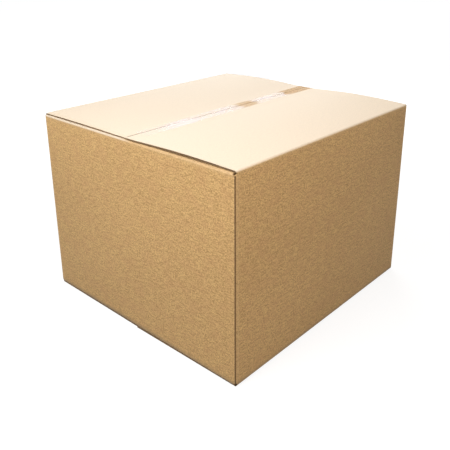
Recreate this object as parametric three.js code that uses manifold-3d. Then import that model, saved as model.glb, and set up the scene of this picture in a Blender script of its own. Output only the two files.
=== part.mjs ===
// A large taped shipping carton, folded from one slotted blank of double-wall board.
// Millimetres, +Z up. The origin is the centre of the footprint, on the floor.
// X runs along the centre seam, Y across it. The glued joint is the corner at -X, -Y.
import * as THREE from "three";
import { mergeVertices } from "three/addons/utils/BufferGeometryUtils.js";
import Module from "manifold-3d";

const wasm = await Module();
wasm.setup();

// Outside of the closed carton
const length = 1120;
const width = 1060;
const rimHeight = 800;

// Board and folds
const board = 7;
const foldInnerRadius = 1;
const arcSegments = 8;

// Flaps
const seamGap = 3;
const layerGap = 0.5;
const majorSetback = 5;
const minorClearance = 2;
const slotRise = 5;
const nearFlapSkew = 7;
const bowSegments = 16;
const bowSteps = 4;

// How far the long top flaps arch up at the left and the right end of the seam
const nearFlapBow = { left: 5, right: 8 };
const farFlapBow = { left: 2, right: 8 };

// Glued joint
const jointSetback = 1;
const jointGrooveDepth = 3;
const jointFlapClearance = 1;
const tabRoot = 2;
const tabWidth = 45;
const tabTaper = 20;

// Tape
const tapeWidth = 75;
const tapeThickness = 0.1;
const tapeDrift = 15;
const tapeMargin = 6;
const topTapeStart = 70;
const topTapeDrop = 60;
const bottomTapeInset = 12;

// Worked out from the sizes above
const left = -length / 2;
const right = length / 2;
const front = -width / 2;
const back = width / 2;
const foldRadius = foldInnerRadius + board;
const minorDrop = board + layerGap;
const wallEnd = minorDrop + foldRadius;
const flapDepth = (width - seamGap) / 2;
const minorDepth = Math.min(flapDepth, (length - seamGap) / 2);
const minorSetback = board + minorClearance;
const tabStart = front + foldRadius + tabRoot;
const jointSideSetback = board + jointFlapClearance;
const flatHalfWidth = tapeWidth / 2 + tapeDrift + tapeMargin;
const flatStart = width / 2 - flatHalfWidth;

const axis = {
  x: new THREE.Vector3(1, 0, 0),
  y: new THREE.Vector3(0, 1, 0),
  z: new THREE.Vector3(0, 0, 1),
};

// The two ends of the carton: where the closed face lies and which way it looks
const top = { level: rimHeight, outward: axis.z };
const bottom = { level: 0, outward: axis.z.clone().negate() };

// Height of a plane that lies a distance inside the closed face of one end
function inside(end, distance) {
  return end.level - end.outward.z * distance;
}

function toSolid(geometry) {
  const bare = geometry.clone();
  bare.deleteAttribute("normal");
  bare.deleteAttribute("uv");
  const merged = mergeVertices(bare, 1e-4);
  return new wasm.Manifold(new wasm.Mesh({
    numProp: 3,
    vertProperties: new Float32Array(merged.attributes.position.array),
    triVerts: new Uint32Array(merged.index.array),
  }));
}

function toGeometry(solid) {
  const mesh = solid.getMesh();
  const geometry = new THREE.BufferGeometry();
  geometry.setAttribute("position", new THREE.BufferAttribute(mesh.vertProperties, 3));
  geometry.setIndex(new THREE.BufferAttribute(mesh.triVerts, 1));
  geometry.computeVertexNormals();
  return geometry;
}

function union(solids) {
  return solids.reduce((whole, solid) => whole.add(solid));
}

// A box between two corners, given as [x, y, z]
function boxBetween(low, high) {
  const size = high.map((value, i) => value - low[i]);
  const geometry = new THREE.BoxGeometry(...size);
  geometry.translate(...low.map((value, i) => value + size[i] / 2));
  return toSolid(geometry);
}

function extrude(shape, depth, steps = 1) {
  return new THREE.ExtrudeGeometry(
    shape, { depth, steps, bevelEnabled: false, curveSegments: arcSegments });
}

// A plan outline in X and Y, raised between two heights
function raise(shape, z0, z1) {
  const geometry = extrude(shape, Math.abs(z1 - z0));
  geometry.translate(0, 0, Math.min(z0, z1));
  return toSolid(geometry);
}

// A profile placed on a panel: its first axis runs into the carton, its second out of the closed
// end, and its length along the fold from one end to the other
function placeProfile(geometry, inward, end, cornerOffset, from, to) {
  const along = new THREE.Vector3().crossVectors(inward, end.outward);
  const alongSign = along.x + along.y + along.z;
  const origin = inward.clone().multiplyScalar(-cornerOffset);
  origin.addScaledVector(along, alongSign > 0 ? from : -to);
  origin.addScaledVector(axis.z, end.level);
  const placement = new THREE.Matrix4().makeBasis(inward, end.outward, along).setPosition(origin);
  return geometry.applyMatrix4(placement);
}

// Outer line of the four walls, with the raw edge of the left panel and its groove at the joint
function wallOutline() {
  const r = foldRadius;
  const tabFace = left + board;
  const grooveTop = front + jointSetback + jointGrooveDepth;
  const grooveAngle = Math.asin((front + r - grooveTop) / r);
  const shape = new THREE.Shape();
  shape.moveTo(left, front + jointSetback);
  shape.lineTo(tabFace, front + jointSetback);
  shape.lineTo(tabFace, grooveTop);
  shape.absarc(tabFace + r, front + r, r, Math.PI + grooveAngle, Math.PI * 1.5, false);
  shape.absarc(right - r, front + r, r, -Math.PI / 2, 0, false);
  shape.absarc(right - r, back - r, r, 0, Math.PI / 2, false);
  shape.absarc(left + r, back - r, r, Math.PI / 2, Math.PI, false);
  shape.closePath();
  shape.holes.push(wallInnerLine());
  return shape;
}

// Inner line of the four walls, stepped in at the root of the glue tab
function wallInnerLine() {
  const r = foldInnerRadius;
  const x0 = left + board;
  const x1 = right - board;
  const y0 = front + board;
  const y1 = back - board;
  const tabInner = x0 + board;
  const line = new THREE.Path();
  line.moveTo(tabInner, tabStart);
  line.lineTo(x0, tabStart);
  line.absarc(x0 + r, y1 - r, r, Math.PI, Math.PI / 2, true);
  line.absarc(x1 - r, y1 - r, r, Math.PI / 2, 0, true);
  line.absarc(x1 - r, y0 + r, r, 0, -Math.PI / 2, true);
  line.absarc(tabInner + r, y0 + r, r, -Math.PI / 2, -Math.PI, true);
  line.closePath();
  return line;
}

// The four walls, up to the folds of the long flaps at both ends. The short panels stop lower,
// at their own folds, and a slot is open at each corner.
function walls() {
  const whole = raise(wallOutline(), inside(bottom, foldRadius), inside(top, foldRadius));
  return [bottom, top].reduce((solid, end) => solid.subtract(union(endCuts(end))), whole);
}

function endCuts(end) {
  const leftSlot = (y0) => (y0 === front ? jointSideSetback : majorSetback);
  const cuts = [];
  for (const x0 of [left, right - 2 * board]) {
    cuts.push(cutBeyond(end, wallEnd, x0, x0 + 2 * board, front + minorSetback, back - minorSetback));
  }
  for (const y0 of [front, back - minorSetback]) {
    const y1 = y0 + minorSetback;
    cuts.push(cutBeyond(end, wallEnd - slotRise, left, left + leftSlot(y0), y0, y1));
    cuts.push(cutBeyond(end, wallEnd - slotRise, right - majorSetback, right, y0, y1));
  }
  return cuts;
}

// All that lies beyond a plane a distance inside one end, within a footprint
function cutBeyond(end, distance, x0, x1, y0, y1) {
  const z0 = inside(end, distance);
  const z1 = inside(end, 0);
  return boxBetween([x0, y0, Math.min(z0, z1)], [x1, y1, Math.max(z0, z1)]);
}

// Glue tab behind the left panel, cut back at both ends
function glueTab() {
  const z0 = inside(bottom, wallEnd);
  const z1 = inside(top, wallEnd);
  const endY = front + tabWidth;
  const shape = new THREE.Shape();
  shape.moveTo(tabStart, z0);
  shape.lineTo(endY, z0 + tabTaper);
  shape.lineTo(endY, z1 - tabTaper);
  shape.lineTo(tabStart, z1);
  shape.closePath();
  const placement = new THREE.Matrix4().makeBasis(axis.y, axis.z, axis.x);
  placement.setPosition(left + board, 0, 0);
  return toSolid(extrude(shape, board).applyMatrix4(placement));
}

// Section of a fold and its flap. The arch lifts the flap between its fold and the flat strip
// under the tape, and the seat is the board pressed in by the tape.
function flapProfile(depth, arch, seat) {
  const r = foldRadius;
  const seatStart = flapDepth + seamGap / 2 - tapeWidth / 2;
  const across = (s) => r + (flatStart - r) * s;
  const shape = new THREE.Shape();
  shape.moveTo(0, -r);
  shape.absarc(r, -r, r, Math.PI, Math.PI / 2, true);
  if (arch > 0) {
    for (let i = 1; i <= bowSegments; i += 1) {
      shape.lineTo(across(i / bowSegments), arch * archShape(across(i / bowSegments)));
    }
  }
  if (seat > 0) {
    shape.lineTo(seatStart, 0);
    shape.lineTo(seatStart, -seat);
  }
  shape.lineTo(depth, -seat);
  shape.lineTo(depth, -board);
  if (arch > 0) {
    for (let i = bowSegments; i >= 1; i -= 1) {
      shape.lineTo(across(i / bowSegments), arch * archShape(across(i / bowSegments)) - board);
    }
  }
  shape.absarc(r, -r, foldInnerRadius, Math.PI / 2, Math.PI, false);
  shape.closePath();
  return shape;
}

// Share of a flap's arch at a distance in from its panel: none at the fold and under the tape
function archShape(distance) {
  const s = (distance - foldRadius) / (flatStart - foldRadius);
  return s > 0 && s < 1 ? Math.sin(Math.PI * s) : 0;
}

// A long flap, hinged on the near or the far panel
function majorFlap(end, inward, from, to, seat) {
  const geometry = extrude(flapProfile(flapDepth, 0, seat), to - from);
  return toSolid(placeProfile(geometry, inward, end, width / 2, from, to));
}

// A long flap that arches up, by amounts that change evenly from its left to its right end
function archedFlap(end, inward, from, to, bow) {
  const geometry = extrude(flapProfile(flapDepth, bow.right, 0), to - from, bowSteps);
  placeProfile(geometry, inward, end, width / 2, from, to);
  const position = geometry.attributes.position;
  for (let i = 0; i < position.count; i += 1) {
    const distance = width / 2 - Math.abs(position.getY(i));
    const leftward = (to - position.getX(i)) / (to - from);
    const change = (bow.left - bow.right) * leftward * archShape(distance);
    position.setZ(i, position.getZ(i) + change);
  }
  return toSolid(geometry);
}

// The near flaps are cut a little out of square: a wedge is gone from their left side
function trimSkew(flap) {
  const x0 = left + jointSideSetback;
  const freeEdge = front + flapDepth;
  const shape = new THREE.Shape();
  shape.moveTo(x0 - 2 * nearFlapSkew, front - board);
  shape.lineTo(x0, front - board);
  shape.lineTo(x0, front);
  shape.lineTo(x0 - nearFlapSkew, freeEdge);
  shape.lineTo(x0 - 2 * nearFlapSkew, freeEdge);
  shape.closePath();
  return flap.subtract(raise(shape, -rimHeight, 2 * rimHeight));
}

// The long flaps of both ends, which close the carton and meet at the seams
function majorFlaps() {
  const inward = axis.y;
  const outward = axis.y.clone().negate();
  const nearFrom = left + jointSideSetback - nearFlapSkew;
  const farFrom = left + majorSetback;
  const to = right - majorSetback;
  return [
    trimSkew(archedFlap(top, inward, nearFrom, to, nearFlapBow)),
    archedFlap(top, outward, farFrom, to, farFlapBow),
    trimSkew(majorFlap(bottom, inward, nearFrom, to, tapeThickness)),
    majorFlap(bottom, outward, farFrom, to, tapeThickness),
  ];
}

// The short flaps, one board further in than the long ones
function minorFlaps(end) {
  const inner = { level: inside(end, minorDrop), outward: end.outward };
  const from = front + minorSetback;
  const to = back - minorSetback;
  return [axis.x, axis.x.clone().negate()].map((inward) => {
    const geometry = extrude(flapProfile(minorDepth, 0, 0), to - from);
    return toSolid(placeProfile(geometry, inward, inner, length / 2, from, to));
  });
}

function foldedBlank() {
  return union([walls(), glueTab(), ...minorFlaps(bottom), ...minorFlaps(top), ...majorFlaps()]);
}

// Tape over the top seam. It drifts off the seam towards its start, and its other end is
// pulled over the edge and down the right panel.
function topTape() {
  const half = tapeWidth / 2;
  const startX = left + topTapeStart;
  const shape = new THREE.Shape();
  shape.moveTo(startX, -half - tapeDrift);
  shape.lineTo(right, -half);
  shape.lineTo(right, half);
  shape.lineTo(startX, half - tapeDrift);
  shape.closePath();
  const strip = raise(shape, rimHeight, rimHeight + tapeThickness);
  const drop = boxBetween(
    [right, -half, rimHeight - topTapeDrop],
    [right + tapeThickness, half, rimHeight + tapeThickness]);
  return strip.add(drop);
}

// Tape over the bottom seam, pressed flush into the flaps by the weight on it
function bottomTape() {
  const half = tapeWidth / 2;
  return boxBetween(
    [left + bottomTapeInset, -half, 0], [right - bottomTapeInset, half, tapeThickness]);
}

const kraft = new THREE.MeshStandardMaterial({ color: 0xb8945f, roughness: 0.85, metalness: 0 });
const clearFilm = new THREE.MeshStandardMaterial({
  color: 0xe6d2ac, roughness: 0.15, metalness: 0, transparent: true, opacity: 0.35,
});

function namedMesh(name, solid, material) {
  const mesh = new THREE.Mesh(toGeometry(solid), material);
  mesh.name = name;
  return mesh;
}

const carton = new THREE.Group();
carton.add(namedMesh("folded_blank", foldedBlank(), kraft));
carton.add(namedMesh("top_tape", topTape(), clearFilm));
carton.add(namedMesh("bottom_tape", bottomTape(), clearFilm.clone()));

export default carton;
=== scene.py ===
"""Dresses a large taped pallet carton: liners, fluting, folds, tape, studio and camera.

Metres, +Z up. X runs along the taped seam and Y across it. The glued joint is the corner at
the left and the front, which is also the corner nearest to the camera.
"""

from __future__ import annotations

import logging
import math
from dataclasses import dataclass
from enum import Enum
from typing import Callable, Sequence

import bmesh
import bpy
from mathutils import Euler, Matrix, Vector, noise

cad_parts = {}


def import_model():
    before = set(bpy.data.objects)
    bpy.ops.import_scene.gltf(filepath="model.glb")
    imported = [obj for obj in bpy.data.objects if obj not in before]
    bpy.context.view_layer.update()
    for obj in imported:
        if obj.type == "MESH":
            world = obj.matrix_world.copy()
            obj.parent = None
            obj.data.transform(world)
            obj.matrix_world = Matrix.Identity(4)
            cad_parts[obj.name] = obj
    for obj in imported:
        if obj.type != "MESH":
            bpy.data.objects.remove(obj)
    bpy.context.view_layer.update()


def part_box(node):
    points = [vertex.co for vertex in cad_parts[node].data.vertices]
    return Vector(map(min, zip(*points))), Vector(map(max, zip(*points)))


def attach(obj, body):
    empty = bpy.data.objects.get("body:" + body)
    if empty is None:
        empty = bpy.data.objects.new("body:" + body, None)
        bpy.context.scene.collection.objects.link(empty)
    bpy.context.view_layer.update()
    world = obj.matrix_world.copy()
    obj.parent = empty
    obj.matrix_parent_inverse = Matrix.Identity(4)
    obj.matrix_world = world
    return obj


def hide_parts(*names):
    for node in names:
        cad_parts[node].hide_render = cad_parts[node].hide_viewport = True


MM = 0.001
BODY = "root"
# Mark of the folds, under which they are painted paler: wear, and a painted highlight on the rims.
FOLD_MARK = "fold"
# Mark under which a cut edge is painted darker, as painted shade.
CUT_SHADE_MARK = "cut"
# Mark under which the top is painted paler, as painted top light and painted fold highlights.
PAINTED_LIGHT_MARK = "painted_light"
SEAM_REACH = 4 * MM
SHARP_ANGLE = math.radians(50)

# Nearly all of a noise pattern lies between these values.
NOISE_SPAN = (0.3, 0.7)
SHARE_SPAN = (0.0, 1.0)

# A band pattern of scale 1 runs through this many radians in a metre.
BAND_RADIANS = 20.0

# The mixing node repeats its sockets' names for each kind of value, so the ones for
# colours are known by number.
MIX_SHARE = 0
MIX_FIRST = 6
MIX_SECOND = 7
MIX_RESULT = 2

log = logging.getLogger("carton")

Socket = bpy.types.NodeSocket
Colour = tuple[float, float, float]
Spot = tuple[float, float, float]
Span = tuple[float, float]
Place = Callable[[int, int], Vector]
GridSpots = Sequence[tuple[int, int]]


class End(Enum):
    """The two closed ends of the carton, by the way that each looks."""

    BOTTOM = -1
    TOP = 1


class Side(Enum):
    """The stretches of the blank, in order round the carton from the raw edge of the joint."""

    LEFT = 0
    BACK = 1
    RIGHT = 2
    FRONT = 3
    TAB = 4


def blend(low: float, high: float, share: float) -> float:
    """Returns the value a share of the way from low to high."""
    return low + (high - low) * share


def smooth_step(low: float, high: float, value: float) -> float:
    """Returns 0 below low, 1 above high, and an eased value between them."""
    share = min(max((value - low) / (high - low), 0.0), 1.0)
    return share * share * (3.0 - 2.0 * share)


def uneven(first: float, second: float, seed: float) -> float:
    """Returns a smooth share that wanders between about 0 and 1 over a place."""
    return 0.5 + 0.5 * noise.noise(Vector((first, second, seed)))


def seam_dip(across: float, depth: float) -> float:
    """Returns how far tape is pressed into a seam at a distance across it."""
    return depth * math.exp(-((across / SEAM_REACH) ** 2))


@dataclass(frozen=True)
class Panel:
    """One straight stretch of the wall, seen from above.

    Attributes:
        side: Which stretch it is.
        start: Where its outer face starts, in X and Y.
        along: The direction in which it runs round the carton.
        outward: The direction that its outer face looks.
        length: Its straight length between two corner folds.
        foot: Height at which its bottom fold starts.
        head: Height at which its top fold starts.
        flap_from: Where its flaps start along it, once they are clear of the fold.
        flap_to: Where its flaps end along it, once they are clear of the fold.
        skew: How far the end of its flaps has run on at their free edge.
    """

    side: Side
    start: Vector
    along: Vector
    outward: Vector
    length: float
    foot: float
    head: float
    flap_from: float
    flap_to: float
    skew: float = 0.0


@dataclass(frozen=True)
class CartonPlan:
    """The sizes of the folded blank, and where any point of its board lies.

    Attributes:
        length: Outer length, along the seam.
        width: Outer width, across the seam.
        rim: Height of the folded rims above the floor.
        board: Thickness of the board.
        fold_radius: Outer radius of a fold.
        layer_gap: Gap between a long flap and the short flap under it.
        seam_gap: Gap between the two long flaps of an end.
        major_setback: Distance of a long flap's sides from the ends of the carton.
        minor_clearance: Gap between a short flap's sides and the long panels.
        joint_setback: Distance of the joint's raw edge from the front face.
        joint_flap_clearance: Gap between the near flaps and the left panel at the joint.
        near_flap_skew: How far the near flaps run out of square at their free edge.
        tab_width: Reach of the glue tab from the front face.
        tab_taper: How far the tab's ends are cut back at its free edge.
        flat_half_width: Half the width of the flat strip under the tape.
        near_bow_left: Arch of the near top flap at its left end.
        near_bow_right: Arch of the near top flap at its right end.
        far_bow_left: Arch of the far top flap at its left end.
        far_bow_right: Arch of the far top flap at its right end.
        wall_dish: How far the middle of a panel sinks in at most.
        least_dish: Share of it by which every place of a panel's middle sinks in.
        dish_rates: How often the dish varies across and up a panel.
        dish_seed: Keeps the dishes of the panels apart.
        fold_unevenness: How far a fold is pressed in at most.
        fold_rate: How often the fold of a flap varies in each metre.
        fold_seeds: Keep such folds apart by their panel and by their end.
        corner_rate: How often a corner fold varies in each metre.
        corner_seeds: Keep the corner folds apart from each other and from the flaps'.
        score_depth: Depth of the pressed line beside a fold.
        score_distance: Distance of that line from the fold.
        score_width: Width of that line.
        edge_crush: Share by which a cut edge is pressed thinner.
        crush_reach: Distance over which the crush fades.
        pressed_edge: How far the left side of the far top flap is pressed down.
        pressed_reach: Distance over which that fades.
        rim_bulge: How far a short top fold swells up in front of the far flap.
        rim_bulge_span: Shares of the fold at which the swell starts and ends.
        rim_bulge_peak: Share of the fold at which it is highest.
        far_half: Shares of a short panel over which its far half sets in.
        flare_share: Share of a fold over which the slots reach their full width.
    """

    length: float
    width: float
    rim: float
    board: float = 7 * MM
    fold_radius: float = 8 * MM
    layer_gap: float = 0.5 * MM
    seam_gap: float = 3 * MM
    major_setback: float = 5 * MM
    minor_clearance: float = 2 * MM
    joint_setback: float = 1 * MM
    joint_flap_clearance: float = 1 * MM
    near_flap_skew: float = 7 * MM
    tab_width: float = 45 * MM
    tab_taper: float = 20 * MM
    flat_half_width: float = 58.5 * MM
    near_bow_left: float = 5 * MM
    near_bow_right: float = 8 * MM
    far_bow_left: float = 2 * MM
    far_bow_right: float = 8 * MM
    wall_dish: float = 1.6 * MM
    least_dish: float = 0.3
    dish_rates: Span = (2.3, 1.9)
    dish_seed: float = 7.0
    fold_unevenness: float = 0.6 * MM
    fold_rate: float = 14.0
    fold_seeds: Span = (3.0, 5.0)
    corner_rate: float = 9.0
    corner_seeds: Span = (4.0, 2.0)
    score_depth: float = 0.35 * MM
    score_distance: float = 5 * MM
    score_width: float = 2.5 * MM
    edge_crush: float = 0.16
    crush_reach: float = 4 * MM
    pressed_edge: float = 2.2 * MM
    pressed_reach: float = 14 * MM
    rim_bulge: float = 2.6 * MM
    rim_bulge_span: Span = (0.15, 0.85)
    rim_bulge_peak: float = 0.6
    far_half: Span = (0.47, 0.53)
    flare_share: float = 0.3

    @classmethod
    def from_frame(cls) -> CartonPlan:
        """Takes the outer sizes from the frame's box of the blank.

        Returns:
            The plan of the carton.
        """
        low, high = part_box("folded_blank")
        return cls(high.x - low.x, high.y - low.y, high.z - cls.near_bow_right)

    @property
    def arc(self) -> float:
        """Length of a fold, measured over its outer face."""
        return self.fold_radius * math.pi / 2

    @property
    def flap_depth(self) -> float:
        """Reach of a flap in from the outer face of its panel."""
        return (self.width - self.seam_gap) / 2

    @property
    def flap_run(self) -> float:
        """Length of a flap from the start of its fold to its free edge, over its outer face."""
        return self.arc + self.flap_depth - self.fold_radius

    @property
    def wall_end(self) -> float:
        """Distance from a closed face to the start of a short flap's fold."""
        return self.board + self.layer_gap + self.fold_radius

    def panels(self) -> list[Panel]:
        """Lays the stretches of the wall out round the carton.

        Returns:
            The left, back, right and front panels and the glue tab, in that order.
        """
        half_x, half_y, r, t = self.length / 2, self.width / 2, self.fold_radius, self.board
        major_heights = (r, self.rim - r)
        minor_heights = (self.wall_end, self.rim - self.wall_end)
        long_run, short_run = self.length - 2 * r, self.width - 2 * r
        left_run = self.width - self.joint_setback - r
        minor_inset = t + self.minor_clearance
        x_dir, y_dir = Vector((1.0, 0.0)), Vector((0.0, 1.0))
        left = Panel(
            Side.LEFT, Vector((-half_x, self.joint_setback - half_y)), y_dir, -x_dir, left_run,
            *minor_heights, minor_inset - self.joint_setback, left_run + r - minor_inset,
        )
        back = Panel(
            Side.BACK, Vector((r - half_x, half_y)), x_dir, y_dir, long_run,
            *major_heights, self.major_setback - r, long_run + r - self.major_setback,
        )
        right = Panel(
            Side.RIGHT, Vector((half_x, half_y - r)), -y_dir, x_dir, short_run,
            *minor_heights, minor_inset - r, short_run + r - minor_inset,
        )
        front = Panel(
            Side.FRONT, Vector((half_x - r, -half_y)), -x_dir, -y_dir, long_run - t,
            *major_heights, self.major_setback - r,
            long_run + r - t - self.joint_flap_clearance, self.near_flap_skew,
        )
        tab = Panel(
            Side.TAB, Vector((t - half_x, r - half_y)), y_dir, -x_dir, self.tab_width - r,
            *minor_heights, 0.0, 0.0,
        )
        return [left, back, right, front, tab]

    def arch(self, panel: Panel, end: End, inward: float, x: float) -> float:
        """Works out how far a long top flap arches up.

        Args:
            panel: The panel that carries the flap.
            end: The end that the flap closes.
            inward: Distance in from the panel's outer face.
            x: Place along the seam.

        Returns:
            The lift, which is none at the fold and under the tape.
        """
        if end is End.BOTTOM or panel.side not in (Side.FRONT, Side.BACK):
            return 0.0
        reach = self.width / 2 - self.flat_half_width - self.fold_radius
        share = (inward - self.fold_radius) / reach
        if not 0.0 < share < 1.0:
            return 0.0
        near = panel.side is Side.FRONT
        bow_left = self.near_bow_left if near else self.far_bow_left
        bow_right = self.near_bow_right if near else self.far_bow_right
        rightward = min(max(x / self.length + 0.5, 0.0), 1.0)
        return blend(bow_left, bow_right, rightward) * math.sin(math.pi * share)

    def flap_span(self, panel: Panel, out: float) -> tuple[float, float]:
        """Finds the two sides of a flap at a distance out from the start of its fold.

        Args:
            panel: The panel that carries the flap.
            out: Distance out over the outer face.

        Returns:
            Where the flap starts and ends along its panel.
        """
        flare = smooth_step(0.0, self.arc * self.flare_share, out)
        run = max(out - self.arc, 0.0) / (self.flap_depth - self.fold_radius)
        start = blend(0.0, panel.flap_from, flare)
        stop = blend(panel.length, panel.flap_to + panel.skew * run, flare)
        return start, stop

    def crushed(self, depth: float, edge_distance: float) -> float:
        """Presses the board thinner beside a cut edge.

        Args:
            depth: Depth of a layer below the outer face.
            edge_distance: Distance to the nearest cut edge.

        Returns:
            The depth of that layer in the pressed board.
        """
        share = self.edge_crush * math.exp(-max(edge_distance, 0.0) / self.crush_reach)
        return blend(depth, self.board / 2, share)

    def score(self, fold_distance: float) -> float:
        """Works out the depth of the pressed line beside a fold.

        Args:
            fold_distance: Distance from the start of the fold.

        Returns:
            The depth of the line there.
        """
        offset = (fold_distance - self.score_distance) / self.score_width
        return self.score_depth * math.exp(-offset * offset)

    def dish(self, panel: Panel, along: float, height: float) -> float:
        """Works out how far a panel's face sinks between its folds.

        Args:
            panel: The panel.
            along: Distance along it.
            height: Height above the floor.

        Returns:
            The inward offset, which is none at the folds.
        """
        across = min(max(along / panel.length, 0.0), 1.0)
        up = min(max((height - panel.foot) / (panel.head - panel.foot), 0.0), 1.0)
        across_rate, up_rate = self.dish_rates
        wander = uneven(across * across_rate, up * up_rate, panel.side.value * self.dish_seed)
        sunk = self.wall_dish * blend(self.least_dish, 1.0, wander)
        return sunk * math.sin(math.pi * across) * math.sin(math.pi * up)

    def wall_point(self, panel: Panel, along: float, height: float, depth: float) -> Vector:
        """Finds a point of a panel's board.

        Args:
            panel: The panel.
            along: Distance along it from its start.
            height: Height above the floor.
            depth: Depth below its outer face.

        Returns:
            The point.
        """
        if panel.side is not Side.TAB:
            depth += self.dish(panel, along, height) + self.score(panel.length - along)
            depth += self.score(height - panel.foot) + self.score(panel.head - height)
        if panel.side is Side.LEFT:
            depth = self.crushed(depth, along)
        else:
            depth += self.score(along)
        plan = panel.start + panel.along * along - panel.outward * depth
        return Vector((plan.x, plan.y, height))

    def corner_point(
        self, panel: Panel, after: Panel, turn: float, up: float, depth: float
    ) -> Vector:
        """Finds a point of the fold between two panels.

        Args:
            panel: The panel before the fold.
            after: The panel after it.
            turn: Share of the way round the fold.
            up: Share of the way up the wall.
            depth: Depth below the outer face.

        Returns:
            The point.
        """
        r = self.fold_radius
        angle = turn * math.pi / 2
        centre = panel.start + panel.along * panel.length - panel.outward * r
        looks = panel.outward * math.cos(angle) + panel.along * math.sin(angle)
        foot = blend(panel.foot, after.foot, turn)
        height = blend(foot, blend(panel.head, after.head, turn), up)
        side_seed, own_seed = self.corner_seeds
        strength = uneven(height * self.corner_rate, panel.side.value * side_seed, own_seed)
        dent = self.fold_unevenness * strength * math.sin(2 * angle)
        spot = centre + looks * (r - depth - dent)
        return Vector((spot.x, spot.y, height))

    def flap_point(self, panel: Panel, end: End, along: float, out: float, depth: float) -> Vector:
        """Finds a point of a flap's board, from the start of its fold to its free edge.

        Args:
            panel: The panel that carries the flap.
            end: The end that the flap closes.
            along: Distance along the panel from its start.
            out: Distance out from the start of the fold, over the outer face.
            depth: Depth below the outer face.

        Returns:
            The point.
        """
        r = self.fold_radius
        start, stop = self.flap_span(panel, out)
        past_fold = max(out - self.arc, 0.0)
        if past_fold > 0.0:
            depth = self.crushed(depth, min(along - start, stop - along, self.flap_run - out))
            depth += self.score(past_fold)
        depth = self.pressed(panel, end, along - start, depth)
        angle = min(out / r, math.pi / 2)
        radius = r - depth - self.pressed_fold(panel, end, along, out)
        inward = r - radius * math.cos(angle) + past_fold
        base = panel.head if end is End.TOP else panel.foot
        plan = panel.start + panel.along * along - panel.outward * inward
        rise = end.value * radius * math.sin(angle) + self.arch(panel, end, inward, plan.x)
        return Vector((plan.x, plan.y, base + rise))

    def pressed(self, panel: Panel, end: End, edge_distance: float, depth: float) -> float:
        """Presses the left side of the far top flap down, beside the short panel's rim.

        Args:
            panel: The panel that carries the flap.
            end: The end that the flap closes.
            edge_distance: Distance from the flap's left side.
            depth: Depth of a layer below the outer face.

        Returns:
            The depth of that layer in the pressed board.
        """
        if panel.side is not Side.BACK or end is End.BOTTOM:
            return depth
        share = 1.0 - smooth_step(0.0, self.pressed_reach, edge_distance)
        return depth + self.pressed_edge * share * (1.0 - depth / self.board)

    def rim_rise(self, panel: Panel, end: End, along: float, out: float) -> float:
        """Works out how far a short top fold swells up in front of the far flap's raw edge.

        Args:
            panel: The panel that carries the fold.
            end: The end that the fold belongs to.
            along: Distance along the fold.
            out: Distance out from the start of the fold.

        Returns:
            The outward offset.
        """
        if end is End.BOTTOM or panel.side not in (Side.LEFT, Side.RIGHT):
            return 0.0
        far_share = along / panel.length if panel.side is Side.LEFT else 1.0 - along / panel.length
        strength = smooth_step(*self.far_half, far_share)
        share = out / self.arc
        swell_from, swell_to = self.rim_bulge_span
        rise = smooth_step(swell_from, self.rim_bulge_peak, share)
        fall = 1.0 - smooth_step(self.rim_bulge_peak, swell_to, share)
        return self.rim_bulge * strength * min(rise, fall)

    def pressed_fold(self, panel: Panel, end: End, along: float, out: float) -> float:
        """Works out how far a fold is pressed in at a place along it.

        Args:
            panel: The panel that carries the fold.
            end: The end that the fold belongs to.
            along: Distance along the fold.
            out: Distance out from the start of the fold.

        Returns:
            The inward offset, which fades away on both sides of the fold.
        """
        if out >= self.arc:
            return 0.0
        side_seed, end_seed = self.fold_seeds
        seeds = (panel.side.value * side_seed, end.value * end_seed)
        strength = uneven(along * self.fold_rate, *seeds)
        dent = self.fold_unevenness * strength * math.sin(math.pi * out / self.arc)
        return dent - self.rim_rise(panel, end, along, out)


@dataclass(frozen=True)
class SheetColumn:
    """One column of a liner's sheet.

    Attributes:
        panel: Its panel.
        after: The next panel if the column lies in the fold between them.
        share: Its share of the way along the panel, or round that fold.
    """

    panel: Panel
    after: Panel | None
    share: float


@dataclass(frozen=True)
class SheetRow:
    """One row of a liner's sheet.

    Attributes:
        end: The end that its flaps close, or None on the wall.
        place: Distance out from the start of the fold, or share of the wall's height.
    """

    end: End | None
    place: float


def folded_grid(columns: int, rows: int, place: Place) -> tuple[bmesh.types.BMesh, GridSpots]:
    """Starts a flat grid and moves its corners to their places.

    Args:
        columns: Corners in one direction.
        rows: Corners in the other.
        place: Gives the place of a corner from its column and its row.

    Returns:
        The mesh, and the column and row of each of its corners, by their index.
    """
    bm = bmesh.new()
    bmesh.ops.create_grid(bm, x_segments=columns - 1, y_segments=rows - 1, size=0.5)
    bm.verts.index_update()
    spots = []
    for vert in bm.verts:
        column = round((vert.co.x + 0.5) * (columns - 1))
        row = round((vert.co.y + 0.5) * (rows - 1))
        spots.append((column, row))
        vert.co = place(column, row)
    return bm, spots


def finish_mesh(name: str, bm: bmesh.types.BMesh, material: bpy.types.Material) -> bpy.types.Object:
    """Turns a bmesh into a smooth shown object at the origin.

    Args:
        name: Name of the piece.
        bm: Its mesh, which is freed.
        material: Its finish.

    Returns:
        The object.
    """
    mesh = bpy.data.meshes.new(name)
    bm.to_mesh(mesh)
    bm.free()
    mesh.materials.append(material)
    mesh.shade_smooth()
    piece = bpy.data.objects.new(name, mesh)
    bpy.context.scene.collection.objects.link(piece)
    return piece


def thicken(piece: bpy.types.Object, thickness: float) -> None:
    """Gives a sheet its thickness behind its faces and keeps its cut edges sharp.

    Args:
        piece: The sheet, whose faces look outwards.
        thickness: Its thickness.
    """
    solidify = piece.modifiers.new("thickness", "SOLIDIFY")
    solidify.thickness = thickness
    solidify.offset = -1.0
    graph = bpy.context.evaluated_depsgraph_get()
    solid = bpy.data.meshes.new_from_object(piece.evaluated_get(graph))
    solid.name = piece.name
    piece.modifiers.clear()
    piece.data = solid
    solid.set_sharp_from_angle(angle=SHARP_ANGLE)


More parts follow.
